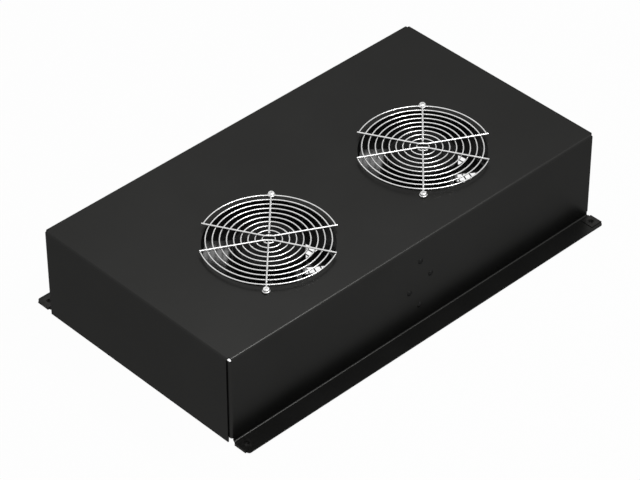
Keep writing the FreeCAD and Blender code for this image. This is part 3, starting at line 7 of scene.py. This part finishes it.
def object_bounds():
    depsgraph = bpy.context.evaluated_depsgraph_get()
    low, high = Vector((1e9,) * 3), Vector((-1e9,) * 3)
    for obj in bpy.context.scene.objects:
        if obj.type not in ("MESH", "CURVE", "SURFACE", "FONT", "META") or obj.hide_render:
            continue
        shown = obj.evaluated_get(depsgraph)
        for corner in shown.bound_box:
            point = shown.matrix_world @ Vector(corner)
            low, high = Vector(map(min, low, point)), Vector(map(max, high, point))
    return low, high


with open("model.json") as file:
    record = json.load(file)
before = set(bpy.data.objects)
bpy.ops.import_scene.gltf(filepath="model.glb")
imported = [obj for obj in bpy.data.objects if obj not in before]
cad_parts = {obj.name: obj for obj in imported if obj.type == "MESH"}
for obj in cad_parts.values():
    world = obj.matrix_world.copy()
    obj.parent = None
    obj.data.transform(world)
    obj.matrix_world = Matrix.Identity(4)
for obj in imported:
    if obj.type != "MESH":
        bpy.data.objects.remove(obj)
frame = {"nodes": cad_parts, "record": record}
cad_low, cad_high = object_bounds()

WHITE = (1.0, 1.0, 1.0, 1.0)


# ---------------------------------------------------------------- material building

NOISE_ROUGHNESS = 0.55
NOISE_RANGE = (0.3, 0.7)      # the part of a noise that is spread over a surface's roughness
TONE_STOPS = (0.32, 0.68)     # where a noise turns from the dark tone to the light one
SEED_STEPS = (1.0, 0.7, 0.3)  # how a seed moves the noise along X, Y and Z
WANDER_SCALE = 2.3            # roughness noise, as a multiple of the tone noise's scale
WANDER_SEED = 3.1
GRAIN_SEED = 7.7


def new_material(name):
    """An empty node material and its tree."""
    material = bpy.data.materials.new(name)
    material.use_nodes = True
    return material, material.node_tree


def object_noise(tree, scale, detail, stretch, seed):
    """Noise laid through the object's own space, so it doesn't move with the view."""
    place = tree.nodes.new("ShaderNodeTexCoord")
    mapping = tree.nodes.new("ShaderNodeMapping")
    mapping.inputs["Scale"].default_value = stretch
    mapping.inputs["Location"].default_value = [seed * step for step in SEED_STEPS]
    noise = tree.nodes.new("ShaderNodeTexNoise")
    noise.inputs["Scale"].default_value = scale
    noise.inputs["Detail"].default_value = detail
    noise.inputs["Roughness"].default_value = NOISE_ROUGHNESS
    tree.links.new(place.outputs["Object"], mapping.inputs["Vector"])
    tree.links.new(mapping.outputs["Vector"], noise.inputs["Vector"])
    return noise.outputs["Fac"]


def spread(tree, source, low, high):
    """Turn a noise into a number between low and high."""
    node = tree.nodes.new("ShaderNodeMapRange")
    node.inputs["From Min"].default_value = NOISE_RANGE[0]
    node.inputs["From Max"].default_value = NOISE_RANGE[1]
    node.inputs["To Min"].default_value = low
    node.inputs["To Max"].default_value = high
    tree.links.new(source, node.inputs["Value"])
    return node.outputs["Result"]


def two_tones(tree, source, dark, light):
    """Colour that wanders between two tones."""
    ramp = tree.nodes.new("ShaderNodeValToRGB")
    for stop, position, colour in zip(ramp.color_ramp.elements, TONE_STOPS, (dark, light)):
        stop.position = position
        stop.color = (*colour, 1.0)
    tree.links.new(source, ramp.inputs["Fac"])
    return ramp.outputs["Color"]


def bump(tree, source, height):
    """Normal of a surface that a noise raises by up to height metres."""
    node = tree.nodes.new("ShaderNodeBump")
    node.inputs["Distance"].default_value = height
    node.inputs["Strength"].default_value = 1.0
    tree.links.new(source, node.inputs["Height"])
    return node.outputs["Normal"]


def finish(name, dark, light, rough, metallic=0.0, specular=0.5, tint=1.0, tone_scale=40.0,
           grain_scale=900.0, grain_height=0.00002, stretch=(1.0, 1.0, 1.0), seed=0.0):
    """A surface with wandering colour, uneven roughness and a fine grain.

    Scales are features per metre, heights are metres, and tint scales a metal's reflection near
    grazing angles.
    """
    material, tree = new_material(name)
    shader = tree.nodes["Principled BSDF"]
    tone = object_noise(tree, tone_scale, 4.0, stretch, seed)
    wander = object_noise(tree, tone_scale * WANDER_SCALE, 3.0, stretch, seed + WANDER_SEED)
    grain = object_noise(tree, grain_scale, 2.0, stretch, seed + GRAIN_SEED)
    tree.links.new(two_tones(tree, tone, dark, light), shader.inputs["Base Color"])
    tree.links.new(spread(tree, wander, *rough), shader.inputs["Roughness"])
    tree.links.new(bump(tree, grain, grain_height), shader.inputs["Normal"])
    shader.inputs["Metallic"].default_value = metallic
    shader.inputs["Specular IOR Level"].default_value = specular
    shader.inputs["Specular Tint"].default_value = (tint, tint, tint, 1.0)
    return material


# ---------------------------------------------------------------- finishes

# One for each material slot of the record. The powder coat, spring steel and black screws are
# near-blacks that reflect about as much at every angle, so they are given as dark metals.
FINISHES = {
    "housing_powder_coat": finish("powder_coat", (0.0250, 0.0250, 0.0242), (0.0270, 0.0270, 0.0262),
                                  (0.34, 0.38), metallic=0.88, specular=0.0, tint=0.5,
                                  tone_scale=9.0, grain_scale=1500.0, grain_height=0.000012,
                                  seed=1.0),
    "zinc_spring_steel": finish("spring_steel", (0.02, 0.02, 0.019), (0.034, 0.033, 0.032),
                                (0.3, 0.45), metallic=0.9, tint=0.5, tone_scale=120.0, seed=2.0),
    "galvanised_sheet": finish("galvanised_sheet", (0.42, 0.44, 0.46), (0.62, 0.63, 0.64),
                               (0.32, 0.5), metallic=1.0, tone_scale=90.0, seed=3.0),
    "block_plastic": finish("block_plastic", (0.56, 0.54, 0.48), (0.64, 0.62, 0.56),
                            (0.4, 0.55), tone_scale=60.0, seed=4.0),
    "zinc_steel": finish("zinc_steel", (0.5, 0.5, 0.47), (0.66, 0.66, 0.63),
                         (0.25, 0.4), metallic=1.0, tone_scale=150.0, seed=5.0),
    "black_screws": finish("black_screws", (0.014, 0.014, 0.014), (0.019, 0.019, 0.019),
                           (0.35, 0.45), metallic=0.85, specular=0.0, tint=0.5,
                           tone_scale=200.0, seed=6.0),
    "grommet_rubber": finish("grommet_rubber", (0.008, 0.008, 0.008), (0.014, 0.014, 0.013),
                             (0.6, 0.8), specular=0.3, tone_scale=160.0, seed=7.0),
    "gland_plastic": finish("gland_plastic", (0.012, 0.012, 0.013), (0.02, 0.02, 0.021),
                            (0.35, 0.5), tone_scale=80.0, seed=8.0),
    "clip_plastic": finish("clip_plastic", (0.5, 0.5, 0.47), (0.6, 0.6, 0.57),
                           (0.4, 0.55), tone_scale=80.0, seed=9.0),
    "stud_copper": finish("stud_copper", (0.62, 0.3, 0.18), (0.76, 0.42, 0.28),
                          (0.25, 0.4), metallic=1.0, tone_scale=120.0, seed=10.0),
    "earth_brass": finish("earth_brass", (0.6, 0.43, 0.17), (0.74, 0.56, 0.26),
                          (0.22, 0.36), metallic=1.0, tone_scale=120.0, seed=11.0),
    "fan_frame_coat": finish("fan_frame_coat", (0.005, 0.005, 0.005), (0.009, 0.009, 0.009),
                             (0.4, 0.55), specular=0.04, tone_scale=70.0,
                             grain_scale=700.0, grain_height=0.00004, seed=12.0),
    "lamination_steel": finish("lamination_steel", (0.16, 0.16, 0.17), (0.3, 0.3, 0.31),
                               (0.3, 0.45), metallic=0.9, tone_scale=60.0,
                               grain_scale=120.0, grain_height=0.00006,
                               stretch=(1.0, 1.0, 20.0), seed=13.0),
    "winding_enamel": finish("winding_enamel", (0.34, 0.09, 0.025), (0.55, 0.2, 0.07),
                             (0.2, 0.35), metallic=0.6, tone_scale=120.0,
                             grain_scale=260.0, grain_height=0.0002,
                             stretch=(1.0, 1.0, 6.0), seed=14.0),
    "bearing_steel": finish("bearing_steel", (0.5, 0.5, 0.51), (0.66, 0.66, 0.67),
                            (0.14, 0.24), metallic=1.0, tone_scale=120.0, seed=15.0),
    "cap_plastic": finish("cap_plastic", (0.01, 0.01, 0.01), (0.018, 0.018, 0.018),
                          (0.4, 0.5), tone_scale=120.0, seed=16.0),
    "tab_brass": finish("tab_brass", (0.6, 0.47, 0.22), (0.75, 0.6, 0.32),
                        (0.2, 0.35), metallic=1.0, tone_scale=150.0, seed=17.0),
    "plug_plastic": finish("plug_plastic", (0.01, 0.01, 0.01), (0.017, 0.017, 0.017),
                           (0.45, 0.6), tone_scale=120.0, seed=18.0),
    "rotor_coat": finish("rotor_coat", (0.005, 0.005, 0.005), (0.008, 0.008, 0.008),
                         (0.34, 0.45), specular=0.05, tone_scale=50.0, seed=19.0),
    "shaft_steel": finish("shaft_steel", (0.52, 0.52, 0.53), (0.66, 0.66, 0.67),
                          (0.15, 0.25), metallic=1.0, tone_scale=200.0, seed=20.0),
    "ring_steel": finish("ring_steel", (0.1, 0.1, 0.1), (0.18, 0.18, 0.18),
                         (0.3, 0.45), metallic=0.9, tone_scale=200.0, seed=21.0),
    "blade_coat": finish("blade_coat", (0.005, 0.005, 0.005), (0.008, 0.008, 0.008),
                         (0.15, 0.2), specular=0.2, tone_scale=45.0, seed=22.0),
    "guard_wire": finish("guard_wire", (0.56, 0.56, 0.56), (0.66, 0.66, 0.65),
                         (0.22, 0.32), metallic=1.0, tone_scale=90.0,
                         grain_scale=500.0, grain_height=0.00001, seed=23.0),
    "bright_screws": finish("bright_screws", (0.62, 0.62, 0.62), (0.78, 0.78, 0.77),
                            (0.18, 0.3), metallic=1.0, tone_scale=150.0, seed=24.0),
    "lead_jacket": finish("lead_jacket", (0.008, 0.008, 0.008), (0.014, 0.014, 0.014),
                          (0.4, 0.55), tone_scale=60.0, seed=25.0),
}

for subpart in frame["record"]["subparts"]:
    for slot in frame["nodes"][subpart["node"]].material_slots:
        slot.material = FINISHES[subpart["material_slot"]]


# ---------------------------------------------------------------- floor and world

FLOOR_SIZE = 60.0
FLOOR_DROP = 0.0002                  # floor below the object's lowest point
FLOOR_PAINT = (0.35, 0.35, 0.35, 1.0)
FLOOR_GLOW = 0.98                    # share of white in the floor; the rest shows the shadow
AMBIENT_STRENGTH = 0.12


def sees_white(tree):
    """One for camera, glossy and transmission rays, which meet a white background."""
    paths = tree.nodes.new("ShaderNodeLightPath")
    seen = paths.outputs["Is Camera Ray"]
    for kind in ("Is Glossy Ray", "Is Transmission Ray"):
        either = tree.nodes.new("ShaderNodeMath")
        either.operation = "MAXIMUM"
        tree.links.new(seen, either.inputs[0])
        tree.links.new(paths.outputs[kind], either.inputs[1])
        seen = either.outputs[0]
    return seen


def mix_shaders(tree, factor, first, second):
    """The first shader where factor is 0, the second where it is 1."""
    mix = tree.nodes.new("ShaderNodeMixShader")
    tree.links.new(factor, mix.inputs["Fac"])
    tree.links.new(first.outputs[0], mix.inputs[1])
    tree.links.new(second.outputs[0], mix.inputs[2])
    return mix


def stage_material():
    """White to the camera and to metal, with a little of the object's shadow; clear from below."""
    material, tree = new_material("stage_white")
    tree.nodes.remove(tree.nodes["Principled BSDF"])
    paint = tree.nodes.new("ShaderNodeBsdfDiffuse")
    paint.inputs["Color"].default_value = FLOOR_PAINT
    glow = tree.nodes.new("ShaderNodeEmission")
    glow.inputs["Color"].default_value = WHITE
    glow.inputs["Strength"].default_value = 1.0
    share = tree.nodes.new("ShaderNodeMath")
    share.operation = "MULTIPLY"
    share.inputs[1].default_value = FLOOR_GLOW
    tree.links.new(sees_white(tree), share.inputs[0])
    upper_face = mix_shaders(tree, share.outputs[0], paint, glow)
    side = tree.nodes.new("ShaderNodeNewGeometry")
    clear = tree.nodes.new("ShaderNodeBsdfTransparent")
    sheet = mix_shaders(tree, side.outputs["Backfacing"], upper_face, clear)
    tree.links.new(sheet.outputs[0], tree.nodes["Material Output"].inputs["Surface"])
    return material


bpy.ops.mesh.primitive_plane_add(size=FLOOR_SIZE, location=(0.0, 0.0, cad_low[2] - FLOOR_DROP))
floor = bpy.context.object
floor.name = "floor"
floor.data.materials.append(stage_material())

world = bpy.data.worlds.new("studio")
bpy.context.scene.world = world
world.use_nodes = True
sky = world.node_tree
ambient = sky.nodes["Background"]
ambient.inputs["Color"].default_value = WHITE
ambient.inputs["Strength"].default_value = AMBIENT_STRENGTH
backdrop = sky.nodes.new("ShaderNodeBackground")
backdrop.inputs["Color"].default_value = WHITE
backdrop.inputs["Strength"].default_value = 1.0
surround = mix_shaders(sky, sees_white(sky), ambient, backdrop)
sky.links.new(surround.outputs[0], sky.nodes["World Output"].inputs["Surface"])


# ---------------------------------------------------------------- lamps

def softbox(name, place, aim, width, height, watts):
    """Rectangular lamp at place, facing aim."""
    light = bpy.data.lights.new(name, "AREA")
    light.shape = "RECTANGLE"
    light.size = width
    light.size_y = height
    light.energy = watts
    lamp = bpy.data.objects.new(name, light)
    bpy.context.scene.collection.objects.link(lamp)
    lamp.location = place
    lamp.rotation_euler = (Vector(aim) - Vector(place)).to_track_quat("-Z", "Y").to_euler()


# The blades mirror the first, the sheet's bends the second; the third lifts the top panel a little.
softbox("blade_light", (-0.1, -0.53, 1.5), (-0.05, -0.05, 0.11), 0.7, 0.3, 8.5)
softbox("edge_light", (0.45, -0.5, 1.45), (-0.1, -0.15, 0.11), 0.3, 0.3, 14.0)
softbox("back_key", (0.25, 0.47, 1.1), (-0.05, -0.05, 0.11), 0.7, 0.6, 1.2)


# ---------------------------------------------------------------- camera

CAMERA_PLACE = (-1.8094, -1.8814, 2.1506)
CAMERA_RIGHT = Vector((0.7212, -0.6927, -0.0015))
CAMERA_UP = Vector((0.4376, 0.4539, 0.7762))
CAMERA_BACK = Vector((-0.537, -0.5604, 0.6305))

camera = bpy.data.cameras.new("camera")
camera.lens = 170.25
camera.sensor_width = 36.0
camera.clip_end = 100.0
viewer = bpy.data.objects.new("camera", camera)
bpy.context.scene.collection.objects.link(viewer)
turn = Matrix((CAMERA_RIGHT, CAMERA_UP, CAMERA_BACK)).transposed()
viewer.matrix_world = Matrix.Translation(CAMERA_PLACE) @ turn.to_4x4()
bpy.context.scene.camera = viewer
bpy.context.scene.view_settings.view_transform = "Standard"
